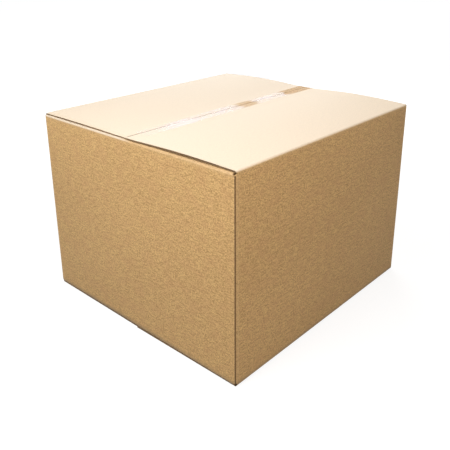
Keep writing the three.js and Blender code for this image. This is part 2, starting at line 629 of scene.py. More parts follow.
def close_shares(length: float, distances: Sequence[float], steps: int) -> list[float]:
    """Divides a stretch evenly, with closer stations at its two ends.

    Args:
        length: Its length.
        distances: Distances of the closer stations from each end.
        steps: Even steps over the whole.

    Returns:
        The shares of the stretch, from 0 to 1.
    """
    near = [distance / length for distance in distances]
    middle = [step / steps for step in range(1, steps) if near[-1] < step / steps < 1.0 - near[-1]]
    return [0.0, *near, *middle, *(1.0 - share for share in reversed(near)), 1.0]


@dataclass
class Liner:
    """One paper liner of the board, over the whole blank.

    Attributes:
        plan: The carton.
        name: Name of the piece.
        depth: Depth of its outer side below the board's outer face.
        thickness: Paper thickness.
        panel_steps: Even steps across a panel.
        wall_steps: Even steps up the wall.
        flap_steps: Even steps out along a flap.
        fold_steps: Steps round a fold.
        tab_steps: Steps across the glue tab.
        close_distances: Distances of the closer stations from folds and cut edges.
        fold_reach: Distance from a fold over which its mark fades; that mark paints fold wear and a
            highlight on the rims.
        cut_shade_reach: Distance from a cut edge over which its mark, which carries painted shade,
            fades.
        painted_light_reach: Share of a fold over which the painted top light sets in: a paler
            tone that stands in for the overhead light on the top, with a painted highlight on its
            folds.
        left_painted_light_reach: The same on the left panel.
        left_painted_light: Strength of the painted top light on the near half of the left panel's
            fold.
        right_painted_light: Strength of the painted top light on the right panel's flap.
    """

    plan: CartonPlan
    name: str
    depth: float
    thickness: float
    panel_steps: int = 34
    wall_steps: int = 26
    flap_steps: int = 16
    fold_steps: int = 7
    tab_steps: int = 4
    close_distances: tuple[float, ...] = (1.5 * MM, 3.5 * MM, 5 * MM, 7 * MM, 11 * MM)
    fold_reach: float = 12 * MM
    cut_shade_reach: float = 3 * MM
    painted_light_reach: float = 0.6
    left_painted_light_reach: float = 0.3
    left_painted_light: float = 0.1
    right_painted_light: float = 0.25

    def columns(self) -> list[SheetColumn]:
        """Lists the columns of the sheet round the carton.

        Returns:
            The columns, from the raw edge of the joint to the tab's free edge.
        """
        found: list[SheetColumn] = []
        panels = self.plan.panels()
        for panel, after in zip(panels, panels[1:]):
            shares = close_shares(panel.length, self.close_distances, self.panel_steps)
            found += [SheetColumn(panel, None, share) for share in shares]
            turns = [step / self.fold_steps for step in range(1, self.fold_steps)]
            found += [SheetColumn(panel, after, turn) for turn in turns]
        shares = [step / self.tab_steps for step in range(self.tab_steps + 1)]
        return found + [SheetColumn(panels[-1], None, share) for share in shares]

    def rows(self) -> list[SheetRow]:
        """Lists the rows of the sheet.

        Returns:
            The rows, from the bottom free edge to the top one.
        """
        plan = self.plan
        straight = plan.flap_run - plan.arc
        outs = [plan.arc * step / self.fold_steps for step in range(1, self.fold_steps)]
        shares = close_shares(straight, self.close_distances, self.flap_steps)
        outs += [plan.arc + straight * share for share in shares]
        wall = close_shares(plan.rim, self.close_distances, self.wall_steps)
        below = [SheetRow(End.BOTTOM, out) for out in reversed(outs)]
        above = [SheetRow(End.TOP, out) for out in outs]
        return below + [SheetRow(None, share) for share in wall] + above

    def point(self, column: SheetColumn, row: SheetRow) -> Vector:
        """Finds where a column and a row of the sheet cross.

        Args:
            column: The column.
            row: The row.

        Returns:
            The point, on the outer side of this liner.
        """
        plan, panel = self.plan, column.panel
        if column.after is not None:
            up = row.place if row.end is None else 0.0
            return plan.corner_point(panel, column.after, column.share, up, self.depth)
        if row.end is None:
            taper = plan.tab_taper * column.share if panel.side is Side.TAB else 0.0
            height = blend(panel.foot + taper, panel.head - taper, row.place)
            return plan.wall_point(panel, panel.length * column.share, height, self.depth)
        start, stop = plan.flap_span(panel, row.place)
        along = blend(start, stop, column.share)
        return plan.flap_point(panel, row.end, along, row.place, self.depth)

    def build(self, material: bpy.types.Material) -> bpy.types.Object:
        """Makes the liner as one sheet, cut, folded and thickened.

        Args:
            material: Its finish, which reads the sheet's UV map and marks.

        Returns:
            The piece.
        """
        columns, rows = self.columns(), self.rows()
        bm, spots = folded_grid(
            len(columns), len(rows), lambda column, row: self.point(columns[column], rows[row])
        )
        self.lay_marks(bm, spots, columns, rows)
        self.cut_slots(bm, spots, columns, rows)
        bmesh.ops.reverse_faces(bm, faces=bm.faces)
        piece = finish_mesh(self.name, bm, material)
        thicken(piece, self.thickness)
        return piece

    def cut_slots(
        self,
        bm: bmesh.types.BMesh,
        spots: GridSpots,
        columns: Sequence[SheetColumn],
        rows: Sequence[SheetRow],
    ) -> None:
        """Cuts the slots between the flaps, and the flapless stretch over the glue tab.

        Args:
            bm: The sheet.
            spots: Column and row of each corner, by its index.
            columns: The columns.
            rows: The rows.
        """
        lost = []
        for face in bm.faces:
            places = [spots[vert.index] for vert in face.verts]
            past_wall = any(rows[row].end is not None for _, row in places)
            in_fold = any(columns[column].after is not None for column, _ in places)
            on_tab = all(columns[column].panel.side is Side.TAB for column, _ in places)
            if past_wall and (in_fold or on_tab):
                lost.append(face)
        bmesh.ops.delete(bm, geom=lost, context="FACES")

    def lay_marks(
        self,
        bm: bmesh.types.BMesh,
        spots: GridSpots,
        columns: Sequence[SheetColumn],
        rows: Sequence[SheetRow],
    ) -> None:
        """Writes the place on the flat blank as the UV map, and marks folds, cuts and the top.
        The cut edges' mark carries painted shade, and the top's mark carries painted top light.

        Args:
            bm: The sheet.
            spots: Column and row of each corner, by its index.
            columns: The columns.
            rows: The rows.
        """
        plan = self.plan
        starts: dict[Side, float] = {}
        reached = 0.0
        for panel in plan.panels():
            starts[panel.side] = reached
            reached += panel.length + plan.arc
        uv = bm.loops.layers.uv.new("blank")
        fold = bm.verts.layers.float.new(FOLD_MARK)
        cut = bm.verts.layers.float.new(CUT_SHADE_MARK)
        # Mark of the painted top light: a paler tone on the top and a painted highlight on its
        # folds.
        painted_light = bm.verts.layers.float.new(PAINTED_LIGHT_MARK)
        flat = []
        for vert in bm.verts:
            column, row = columns[spots[vert.index][0]], rows[spots[vert.index][1]]
            vert[fold] = self.fold_closeness(column, row)
            vert[cut] = self.cut_closeness(column, row)
            vert[painted_light] = self.painted_light_share(column, row)
            run = plan.arc if column.after is not None else column.panel.length
            base = starts[column.panel.side] + (column.panel.length if column.after else 0.0)
            height = row.place * plan.rim
            if row.end is not None:
                height = (plan.rim if row.end is End.TOP else 0.0) + row.end.value * row.place
            flat.append((base + run * column.share, height))
        for face in bm.faces:
            for loop in face.loops:
                loop[uv].uv = flat[loop.vert.index]

    def fold_closeness(self, column: SheetColumn, row: SheetRow) -> float:
        """Tells how close a corner of the sheet is to a fold.

        Args:
            column: The corner's column.
            row: The corner's row.

        Returns:
            1 on a fold, and 0 out of its reach.
        """
        plan = self.plan
        if row.end is not None:
            distances = [row.place - plan.arc]
        else:
            distances = [plan.rim * min(row.place, 1.0 - row.place)]
            length = 0.0 if column.after is not None else column.panel.length
            distances.append(length * (1.0 - column.share))
            if column.panel.side is not Side.LEFT:
                distances.append(length * column.share)
        return 1.0 - smooth_step(0.0, self.fold_reach, min(distances))

    def cut_closeness(self, column: SheetColumn, row: SheetRow) -> float:
        """Tells how close a corner of the sheet is to a cut edge.

        Args:
            column: The corner's column.
            row: The corner's row.

        Returns:
            1 on a cut edge, and 0 out of its reach.
        """
        plan = self.plan
        distance = plan.rim
        if row.end is not None:
            length = column.panel.length
            sides = length * min(column.share, 1.0 - column.share)
            distance = min(sides, plan.flap_run - row.place)
        elif column.panel.side is Side.LEFT and column.after is None:
            distance = column.panel.length * column.share
        return 1.0 - smooth_step(0.0, self.cut_shade_reach, distance)

    def painted_light_share(self, column: SheetColumn, row: SheetRow) -> float:
        """Tells how much painted top light a corner of the sheet gets: a paler tone standing in
        for the overhead light on the top, and a painted highlight on the top folds.

        Args:
            column: The corner's column.
            row: The corner's row.

        Returns:
            1 on the top, and 0 on the wall and the bottom.
        """
        # Painted top light: only the top end gets it, fading in over the fold; the painted
        # highlight is faint on the left fold's near half and weaker on the right flap.
        if row.end is not End.TOP:
            return 0.0
        side = column.panel.side
        reach = self.left_painted_light_reach if side is Side.LEFT else self.painted_light_reach
        share = smooth_step(0.0, self.plan.arc * reach, row.place)
        if side is Side.LEFT:
            far = smooth_step(*self.plan.far_half, column.share)
            return share * blend(self.left_painted_light, 1.0, far)
        return share * self.right_painted_light if side is Side.RIGHT else share


@dataclass(frozen=True)
class FluteBand:
    """One oblong of waved paper on a flap.

    Attributes:
        sides: Gives its two sides along the flap from the flap's own two sides.
        out: Where it starts and stops, out from the start of the fold.
        columns: Steps along the flap.
        rows: Steps out from the fold.
    """

    sides: Callable[[float, float], Span]
    out: Span
    columns: int
    rows: int


@dataclass
class Fluting:
    """The waved paper between two liners, where a raw edge shows it.

    Attributes:
        plan: The carton.
        name: Name of the piece.
        top: Depth of its crests below the board's outer face.
        bottom: Depth of its troughs.
        pitch: Distance from one crest to the next.
        paper: Thickness of the paper.
        wave_steps: Steps in each wave.
        drift: How far the waves stray along the liner, as a share of the pitch.
        drift_rate: How often they stray in each metre.
        drift_seed: Keeps the straying of two papers of unlike pitch apart.
        seam_band: Width of the paper along a flap's free edge.
        side_waves: Waves in the paper along a flap's sides.
        side_inset: Distance of the paper from a cut edge.
        fold_start: Share of the fold at which the paper along a side starts.
        seam_rows: Steps across the paper along a free edge.
        rise_steps: Steps along the paper at a flap's sides and at the joint.
    """

    plan: CartonPlan
    name: str
    top: float
    bottom: float
    pitch: float
    paper: float = 0.25 * MM
    wave_steps: int = 8
    drift: float = 0.22
    drift_rate: float = 3.0
    drift_seed: float = 900.0
    seam_band: float = 40 * MM
    side_waves: float = 2.5
    side_inset: float = 0.8 * MM
    fold_start: float = 0.4
    seam_rows: int = 2
    rise_steps: int = 40

    @property
    def side_band(self) -> float:
        """Width of the paper along a flap's side."""
        return self.side_waves * self.pitch

    def wave(self, along: float) -> float:
        """Gives the depth of the waved paper.

        Args:
            along: Distance along the liner.

        Returns:
            The depth below the board's outer face.
        """
        middle, swing = (self.top + self.bottom) / 2, (self.bottom - self.top) / 2
        seed = Vector((along * self.drift_rate, 0.0, self.pitch * self.drift_seed))
        drift = self.drift * self.pitch * noise.noise(seed)
        return middle + swing * math.cos(2 * math.pi * (along + drift) / self.pitch)

    def bands(self, panel: Panel) -> list[FluteBand]:
        """Lists the oblongs of waved paper on one flap of a long panel.

        Args:
            panel: The panel.

        Returns:
            The paper along the free edge and along the two sides.
        """
        band, inset = self.side_band, self.side_inset
        free_edge = self.plan.flap_run - inset
        seam_start = self.plan.flap_run - self.seam_band
        fold_start = self.plan.arc * self.fold_start
        seam_steps = round(panel.length / self.pitch) * self.wave_steps
        side_steps = round(self.side_waves * self.wave_steps)
        return [
            FluteBand(
                lambda start, stop: (start + band, stop - inset),
                (seam_start, free_edge), seam_steps, self.seam_rows,
            ),
            FluteBand(
                lambda start, stop: (start + inset, start + band),
                (fold_start, free_edge), side_steps, self.rise_steps,
            ),
            FluteBand(
                lambda start, stop: (stop - band, stop - inset),
                (fold_start, seam_start), side_steps, self.rise_steps,
            ),
        ]

    def add_band(self, bm: bmesh.types.BMesh, panel: Panel, end: End, band: FluteBand) -> None:
        """Adds one oblong of waved paper to the mesh.

        Args:
            bm: The mesh to add to.
            panel: The panel that carries the flap.
            end: The end that the flap closes.
            band: The oblong.
        """

        def place(column: int, row: int) -> Vector:
            """Puts one corner of the paper in its place.

            Args:
                column: Its column.
                row: Its row.

            Returns:
                The place.
            """
            out = blend(*band.out, row / band.rows)
            start, stop = self.plan.flap_span(panel, out)
            along = blend(*band.sides(start, stop), column / band.columns)
            return self.plan.flap_point(panel, end, along, out, self.wave(along - start))

        self.add_paper(bm, band.columns, band.rows, place)

    def add_joint(self, bm: bmesh.types.BMesh, panel: Panel) -> None:
        """Adds the waved paper behind the raw edge of the glued joint.

        Args:
            bm: The mesh to add to.
            panel: The panel that starts at the raw edge.
        """
        columns = round(self.side_waves * self.wave_steps)

        def place(column: int, row: int) -> Vector:
            """Puts one corner of the paper in its place.

            Args:
                column: Its column.
                row: Its row.

            Returns:
                The place.
            """
            along = blend(self.side_inset, self.side_band, column / columns)
            height = blend(panel.foot, panel.head, row / self.rise_steps)
            return self.plan.wall_point(panel, along, height, self.wave(along))

        self.add_paper(bm, columns, self.rise_steps, place)

    def add_paper(self, bm: bmesh.types.BMesh, columns: int, rows: int, place: Place) -> None:
        """Adds one more grid of paper to the mesh.

        Args:
            bm: The mesh to add to.
            columns: Steps in one direction.
            rows: Steps in the other.
            place: Gives the place of a corner.
        """
        grid, _ = folded_grid(columns + 1, rows + 1, place)
        part = bpy.data.meshes.new("band")
        grid.to_mesh(part)
        grid.free()
        bm.from_mesh(part)
        bpy.data.meshes.remove(part)

    def build(self, material: bpy.types.Material) -> bpy.types.Object:
        """Makes the waved paper along the flaps' sides, their free edges and the joint.

        Args:
            material: Its finish.

        Returns:
            The piece.
        """
        bm = bmesh.new()
        panels = self.plan.panels()
        for panel in panels:
            if panel.side in (Side.FRONT, Side.BACK):
                for end in End:
                    for band in self.bands(panel):
                        self.add_band(bm, panel, end, band)
        self.add_joint(bm, panels[0])
        bmesh.ops.reverse_faces(bm, faces=bm.faces)
        piece = finish_mesh(self.name, bm, material)
        thicken(piece, self.paper)
        return piece


@dataclass
class TopTape:
    """The clear tape over the top seam, with its torn end, creases and turned-down tail.

    Attributes:
        plan: The carton.
        width: Width of the tape.
        start_gap: Distance from the left end of the carton to the torn end.
        drift: How far the tape strays across the seam over its run.
        drop: Length of the tail on the right panel.
        film: Thickness of the film.
        lift: Height of its underside over the board.
        bend_radius: Radius of its bend over the carton's right edge.
        bend_steps: Steps round that bend.
        run_steps: Steps along the flat run.
        drop_steps: Steps down the tail.
        tooth: Distance from one tooth of the torn ends to the next.
        tooth_depth: Depth of the teeth.
        sag: How deep it is pressed into the seam.
        ripple: Height of its creases.
        long_creases: How often the long creases come in each metre and across the tape,
            and the seed of their pattern.
        short_creases: The same for the short ones.
        short_floor: How much of a short crease is lost in the film's stiffness.
        short_share: Height of the short creases beside the long ones.
        relief_fade: Distance before the bend over which the creases fade.
    """

    plan: CartonPlan
    width: float = 75 * MM
    start_gap: float = 70 * MM
    drift: float = 15 * MM
    drop: float = 60 * MM
    film: float = 0.06 * MM
    lift: float = 0.12 * MM
    bend_radius: float = 6 * MM
    bend_steps: int = 8
    run_steps: int = 190
    drop_steps: int = 12
    tooth: float = 1.4 * MM
    tooth_depth: float = 0.9 * MM
    sag: float = 0.7 * MM
    ripple: float = 0.3 * MM
    long_creases: Spot = (7.0, 5.0, 1.0)
    short_creases: Spot = (34.0, 4.0, 4.0)
    short_floor: float = 0.2
    short_share: float = 0.4
    relief_fade: float = 50 * MM

    @property
    def rows(self) -> int:
        """Steps across the tape, two to each tooth of its torn end."""
        return 2 * round(self.width / self.tooth)

    def crease(self, x: float, across: float, creases: Spot) -> float:
        """Returns the pattern of one kind of crease at a place along and across the tape."""
        along_rate, across_rate, seed = creases
        return noise.noise(Vector((x * along_rate, across * across_rate, seed)))

    def relief(self, x: float, across: float) -> float:
        """Works out how far the film stands off the flat at a place.

        Args:
            x: Place along the seam.
            across: Share of the way across the tape.

        Returns:
            The height over its lowest lie.
        """
        long_crease = max(self.crease(x, across, self.long_creases), 0.0)
        short_crease = max(self.crease(x, across, self.short_creases) - self.short_floor, 0.0)
        edge = math.sqrt(math.sin(math.pi * across))
        return self.ripple * (long_crease + short_crease * self.short_share) * edge

    def build(self, material: bpy.types.Material) -> bpy.types.Object:
        """Makes the film.

        Args:
            material: Its finish.

        Returns:
            The piece.
        """
        plan = self.plan
        half_x = plan.length / 2
        begin = self.start_gap - half_x
        turn = half_x - self.bend_radius
        flat_steps, bend_steps = self.run_steps, self.bend_steps
        rows = self.rows
        top = plan.rim + self.lift
        arc = self.bend_radius * math.pi / 2
        tail = self.drop - self.bend_radius

        def path(column: int) -> tuple[float, float, Vector]:
            """Finds where a column of the film lies.

            Args:
                column: The column.

            Returns:
                Its place along X, its height, and the way that it faces.
            """
            if column <= flat_steps:
                return blend(begin, turn, column / flat_steps), top, Vector((0, 0, 1))
            step = column - flat_steps
            if step <= bend_steps:
                angle = math.pi / 2 * step / bend_steps
                looks = Vector((math.sin(angle), 0, math.cos(angle)))
                centre = Vector((turn, 0, top - self.bend_radius))
                spot = centre + looks * self.bend_radius
                return spot.x, spot.z, looks
            share = (step - bend_steps) / self.drop_steps
            return half_x, top - self.bend_radius - tail * share, Vector((1, 0, 0))

        def place(column: int, row: int) -> Vector:
            """Puts one corner of the film in its place.

            Args:
                column: Its column.
                row: Its row.

            Returns:
                The place.
            """
            x, z, looks = path(column)
            share = row / rows
            middle = -self.drift * (1.0 - min((x - begin) / (half_x - begin), 1.0))
            y = middle + self.width * (share - 0.5)
            fade = 1.0 - smooth_step(turn - self.relief_fade, turn + arc, x)
            relief = self.relief(x + (top - z), share) * fade
            if column == 0 and row % 2 == 1:
                x += self.tooth_depth
            if column == flat_steps + bend_steps + self.drop_steps and row % 2 == 1:
                z += self.tooth_depth
            height = relief - (seam_dip(y, self.sag) if column <= flat_steps else 0.0)
            return Vector((x, y, z)) + looks * height

        bm, _ = folded_grid(flat_steps + bend_steps + self.drop_steps + 1, rows + 1, place)
        piece = finish_mesh("top_tape_film", bm, material)
        thicken(piece, self.film)
        return piece


@dataclass
class BottomTape:
    """The clear tape over the bottom seam, cut short of the bottom edges.

    Attributes:
        plan: The carton.
        width: Width of the tape.
        inset: Distance of its ends from the carton's ends.
        film: Thickness of the film.
        lift: Height of its lower face over the floor.
        run_steps: Steps along the tape.
        rows: Steps across it.
        sag: How deep it is pressed into the seam.
    """

    plan: CartonPlan
    width: float = 75 * MM
    inset: float = 12 * MM
    film: float = 0.06 * MM
    lift: float = 0.02 * MM
    run_steps: int = 120
    rows: int = 12
    sag: float = 0.5 * MM

    def build(self, material: bpy.types.Material) -> bpy.types.Object:
        """Makes the film.

        Args:
            material: Its finish.

        Returns:
            The piece.
        """
        half_x = self.plan.length / 2 - self.inset

        def place(column: int, row: int) -> Vector:
            """Puts one corner of the film in its place.

            Args:
                column: Its column.
                row: Its row.

            Returns:
                The place.
            """
            x = blend(half_x, -half_x, column / self.run_steps)
            y = self.width * (row / self.rows - 0.5)
            return Vector((x, y, self.lift + seam_dip(y, self.sag)))

        bm, _ = folded_grid(self.run_steps + 1, self.rows + 1, place)
        piece = finish_mesh("bottom_tape_film", bm, material)
        thicken(piece, self.film)
        return piece


class Sum(Enum):
    """A calculation with two values."""

    ADD = "ADD"
    SUBTRACT = "SUBTRACT"
    MULTIPLY = "MULTIPLY"
    LARGER = "MAXIMUM"


@dataclass
class NodeSheet:
    """The node tree of a material or a surround, with short ways to add and join nodes.

    Attributes:
        owner: The material or the surround.
    """

    owner: bpy.types.Material | bpy.types.World

    @classmethod
    def new(cls, owner: bpy.types.Material | bpy.types.World) -> NodeSheet:
        """Starts an empty node tree.

        Args:
            owner: The material or the surround.

        Returns:
            The sheet of its nodes.
        """
        owner.use_nodes = True
        owner.node_tree.nodes.clear()
        return cls(owner)

    def add(self, kind: str, **settings: object) -> bpy.types.Node:
        """Adds a node.

        Args:
            kind: The node's type.
            settings: Properties of the node by name.

        Returns:
            The node.
        """
        node = self.owner.node_tree.nodes.new(kind)
        for name, value in settings.items():
            setattr(node, name, value)
        return node

    def join(self, source: Socket, target: Socket) -> None:
        """Links an output to an input."""
        self.owner.node_tree.links.new(source, target)

    def place(self, scale: Sequence[float], uv: bool = True) -> Socket:
        """Adds pattern coordinates.

        Args:
            scale: Pattern repeats in each metre, along each axis.
            uv: Whether they follow the flat blank, and not the object's axes.

        Returns:
            The coordinates.
        """
        source = self.add("ShaderNodeTexCoord")
        mapping = self.add("ShaderNodeMapping")
        mapping.inputs["Scale"].default_value = scale
        self.join(source.outputs["UV" if uv else "Object"], mapping.inputs["Vector"])
        return mapping.outputs["Vector"]

    def axis(self, name: str, uv: bool = True) -> Socket:
        """Reads one axis of the coordinates, in metres.

        Args:
            name: The axis.
            uv: Whether they follow the flat blank, and not the object's axes.

        Returns:
            The place along the axis.
        """
        axes = self.add("ShaderNodeSeparateXYZ")
        self.join(self.place((1.0, 1.0, 1.0), uv), axes.inputs["Vector"])
        return axes.outputs[name]

    def noise(self, place: Socket, detail: float = 2.0, roughness: float = 0.5) -> Socket:
        """Adds a noise pattern.

        Args:
            place: The pattern's coordinates.
            detail: How many times it is repeated in a finer size.
            roughness: Strength of each finer size beside the one before.

        Returns:
            The pattern's value.
        """
        node = self.add("ShaderNodeTexNoise")
        node.inputs["Scale"].default_value = 1.0
        node.inputs["Detail"].default_value = detail
        node.inputs["Roughness"].default_value = roughness
        self.join(place, node.inputs["Vector"])
        return node.outputs["Fac"]

    def mark(self, name: str) -> Socket:
        """Reads one of the marks that a sheet carries."""
        return self.add("ShaderNodeAttribute", attribute_name=name).outputs["Fac"]

    def sum(self, way: Sum, first: Socket | float, second: Socket | float) -> Socket:
        """Adds a calculation with two values.

        Args:
            way: The calculation.
            first: The first value.
            second: The second value.

        Returns:
            The result.
        """
        node = self.add("ShaderNodeMath", operation=way.value)
        for slot, value in enumerate((first, second)):
            if isinstance(value, (int, float)):
                node.inputs[slot].default_value = value
            else:
                self.join(value, node.inputs[slot])
        return node.outputs["Value"]

    def spread(self, value: Socket, source: Sequence[float], target: Sequence[float]) -> Socket:
        """Moves a pattern from one range to another, and holds it there.

        Args:
            value: The pattern.
            source: Its lowest and highest value.
            target: What they become.

        Returns:
            The moved pattern.
        """
        node = self.add("ShaderNodeMapRange", clamp=True)
        for name, number in zip(("From Min", "From Max", "To Min", "To Max"), (*source, *target)):
            node.inputs[name].default_value = number
        self.join(value, node.inputs["Value"])
        return node.outputs["Result"]

    def mix(
        self, share: Socket | float, first: Socket | Colour, second: Socket | Colour
    ) -> Socket:
        """Mixes two colours.

        Args:
            share: Share of the second one.
            first: The first colour.
            second: The second colour.

        Returns:
            The mixed colour.
        """
        node = self.add("ShaderNodeMix", data_type="RGBA")
        for slot, value in ((MIX_SHARE, share), (MIX_FIRST, first), (MIX_SECOND, second)):
            socket = node.inputs[slot]
            if isinstance(value, tuple):
                socket.default_value = (*value, 1.0)
            elif isinstance(value, float):
                socket.default_value = value
            else:
                self.join(value, socket)
        return node.outputs[MIX_RESULT]

    def bump(self, height: Socket, distance: float, below: Socket | None = None) -> Socket:
        """Adds relief.

        Args:
            height: The relief's pattern.
            distance: Height in metres where the pattern is 1.
            below: Relief that it adds to.

        Returns:
            The bent normal.
        """
        node = self.add("ShaderNodeBump")
        node.inputs["Distance"].default_value = distance
        self.join(height, node.inputs["Height"])
        if below is not None:
            self.join(below, node.inputs["Normal"])
        return node.outputs["Normal"]

    def surface(self, colour: Socket, roughness: Socket, normal: Socket) -> bpy.types.Node:
        """Ends the tree in a Principled surface and returns its node.

        Args:
            colour: Base colour.
            roughness: Roughness.
            normal: Bent normal.

        Returns:
            The shader node.
        """
        shader = self.add("ShaderNodeBsdfPrincipled")
        self.join(colour, shader.inputs["Base Color"])
        self.join(roughness, shader.inputs["Roughness"])
        self.join(normal, shader.inputs["Normal"])
        self.show(shader.outputs["BSDF"])
        return shader

    def show(self, shader: Socket, output: str = "ShaderNodeOutputMaterial") -> None:
        """Ends the tree in its output.

        Args:
            shader: What it shows.
            output: Type of the output's node.
        """
        self.join(shader, self.add(output).inputs["Surface"])

    def seen(self) -> Socket:
        """Tells whether the camera sees a thing, straight or by way of another surface.

        Returns:
            1 where it does, and 0 where the thing only gives light.
        """
        path = self.add("ShaderNodeLightPath")
        seen = path.outputs["Is Camera Ray"]
        for other in ("Is Glossy Ray", "Is Transmission Ray"):
            seen = self.sum(Sum.LARGER, seen, path.outputs[other])
        return seen


@dataclass(frozen=True)
class Pattern:
    """A noise pattern on the flat blank.

    Attributes:
        scale: Repeats in each metre, along the perimeter, up the blank and through it.
        detail: How many times it is repeated in a finer size.
        roughness: Strength of each finer size beside the one before.
    """

    scale: Spot
    detail: float = 2.0
    roughness: float = 0.5


@dataclass(frozen=True)
class Layer:
    """One colour laid over the paper as a pattern says.

    Attributes:
        pattern: The pattern.
        source: Two values of the pattern.
        target: Share of the colour at the one and at the other.
        colour: The colour.
        mark: Mark of the sheet that the colour keeps to, if any.
    """

    pattern: Pattern
    source: Span
    target: Span
    colour: Colour
    mark: str | None = None


@dataclass(frozen=True)
class KraftFinish:
    """Brown kraft paper: fibres along the perimeter, mottle, faint flutes and fold wear, with
    painted top light, painted fold highlights, and painted shade at the foot and cut edges.

    Attributes:
        name: Name of the material.
        paper: Main colour.
        dark: Colour of darker fibres and clouds.
        pale: Colour of paler fibres.
        painted_top_light: Paler colour painted on the top and its folds, standing in for the
            overhead light on them.
        fold_wear_and_highlight: Paler colour on a fold, for the stretched paper and also a painted
            highlight on the fold's rim.
        painted_foot_shade: Dark colour painted along the foot and under the carton as contact
            shade.
        ruddy: Colour of its redder patches.
        cut: Dark colour painted beside a cut edge, as the shade in the raw edge.
        clouds: Broad, darker patches.
        mottle: The grain of the pulp.
        fibres: Long fibres.
        streaks: Short pale strokes.
        specks: Small dark flecks.
        blush: Redder patches.
        mottle_span: Values of the mottle at which the paper is dark and pale.
        mottle_share: Share of the mottle in the main colour.
        foot_shade_span: Heights over the lower fold between which the painted shade fades.
        foot_shade_strength: Strength of the painted shade under the carton.
        foot_shade_clouds: Values of the clouds between which the painted shade grows stronger.
        foot_shade_patches: Share of the painted shade at the one and at the other.
        roughness: Roughness of the smoother and the rougher paper.
        flutes: Height of the faint washboard over the flutes.
        flute_pitch: Distance from one crest of it to the next.
        flute_waver: How much its lines waver.
        grain: Height of the fibres and of the mottle.
        sheen: Strength of the paper's fuzz.
        sheen_roughness: Roughness of the fuzz.
        sheen_tint: Colour of the fuzz.
    """

    name: str
    paper: Colour = (0.50, 0.305, 0.11)
    dark: Colour = (0.275, 0.153, 0.047)
    pale: Colour = (0.76, 0.49, 0.205)
    painted_top_light: Colour = (0.745, 0.63, 0.49)
    fold_wear_and_highlight: Colour = (0.58, 0.385, 0.18)
    painted_foot_shade: Colour = (0.17, 0.115, 0.065)
    ruddy: Colour = (0.47, 0.255, 0.11)
    cut: Colour = (0.20, 0.12, 0.055)
    clouds: Pattern = Pattern((2.2, 3.4, 1.0), detail=3.0)
    mottle: Pattern = Pattern((150.0, 170.0, 1.0), roughness=0.9)
    fibres: Pattern = Pattern((70.0, 1500.0, 1.0), detail=3.0, roughness=0.6)
    streaks: Pattern = Pattern((34.0, 95.0, 1.0), roughness=0.7)
    specks: Pattern = Pattern((420.0, 520.0, 1.0), detail=1.0)
    blush: Pattern = Pattern((17.0, 19.0, 1.0))
    mottle_span: Span = (0.41, 0.62)
    mottle_share: float = 0.9
    foot_shade_span: Span = (-4 * MM, 14 * MM)
    foot_shade_strength: float = 0.75
    foot_shade_clouds: Span = (0.3, 0.6)
    foot_shade_patches: Span = (0.5, 1.0)
    roughness: Span = (0.62, 0.78)
    flutes: float = 0.02 * MM
    flute_pitch: float = 15.7 * MM
    flute_waver: float = 0.6
    grain: float = 0.05 * MM
    sheen: float = 0.12
    sheen_roughness: float = 0.4
    sheen_tint: Colour = (1.0, 0.95, 0.86)

    @property
    def layers(self) -> list[Layer]:
        """Lists the colours laid over the paper.

        Returns:
            The layers, from the first one laid to the last.
        """
        return [
            Layer(self.clouds, (0.32, 0.7), (0.0, 0.22), self.dark),
            Layer(self.fibres, (0.45, 0.75), (0.0, 0.45), self.dark),
            Layer(self.streaks, (0.4, 0.68), (0.0, 0.42), self.pale),
            Layer(self.specks, (0.66, 0.78), (0.0, 0.6), self.dark),
            Layer(self.blush, (0.42, 0.66), (0.0, 0.3), self.ruddy),
            # Fold colour: wear of the stretched paper, and a painted highlight on the rims.
            Layer(self.mottle, (0.4, 0.65), (0.15, 0.7), self.fold_wear_and_highlight, FOLD_MARK),
            # Painted top light: a paler tone where the top's mark lies.
            Layer(self.mottle, (0.3, 0.7), (0.78, 0.92), self.painted_top_light, PAINTED_LIGHT_MARK),
            # Painted shade at the raw cut edges.
            Layer(self.fibres, (0.35, 0.7), (0.25, 0.8), self.cut, CUT_SHADE_MARK),
        ]

    def make(self) -> bpy.types.Material:
        """Builds the material.

        Returns:
            The material.
        """
        sheet = NodeSheet.new(bpy.data.materials.new(self.name))
        patterns = (self.clouds, self.mottle, self.fibres, self.streaks, self.specks, self.blush)
        values = {
            pattern: sheet.noise(sheet.place(pattern.scale), pattern.detail, pattern.roughness)
            for pattern in patterns
        }
        mottle = values[self.mottle]
        pulp = sheet.mix(sheet.spread(mottle, self.mottle_span, SHARE_SPAN), self.dark, self.pale)
        colour = sheet.mix(self.mottle_share, self.paper, pulp)
        for layer in self.layers:
            share = sheet.spread(values[layer.pattern], layer.source, layer.target)
            if layer.mark is not None:
                share = sheet.sum(Sum.MULTIPLY, sheet.mark(layer.mark), share)
            colour = sheet.mix(share, colour, layer.colour)
        # Painted contact shade: darker along the foot and under the carton, in patches.
        foot = sheet.spread(sheet.axis("Y"), self.foot_shade_span, (self.foot_shade_strength, 0.0))
        patches = sheet.spread(values[self.clouds], self.foot_shade_clouds, self.foot_shade_patches)
        colour = sheet.mix(sheet.sum(Sum.MULTIPLY, foot, patches), colour, self.painted_foot_shade)
        normal = sheet.bump(self.washboard(sheet), self.flutes)
        normal = sheet.bump(values[self.fibres], self.grain, normal)
        normal = sheet.bump(mottle, self.grain, normal)
        shader = sheet.surface(colour, sheet.spread(mottle, NOISE_SPAN, self.roughness), normal)
        shader.inputs["Sheen Weight"].default_value = self.sheen
        shader.inputs["Sheen Roughness"].default_value = self.sheen_roughness
        shader.inputs["Sheen Tint"].default_value = (*self.sheen_tint, 1.0)
        return sheet.owner

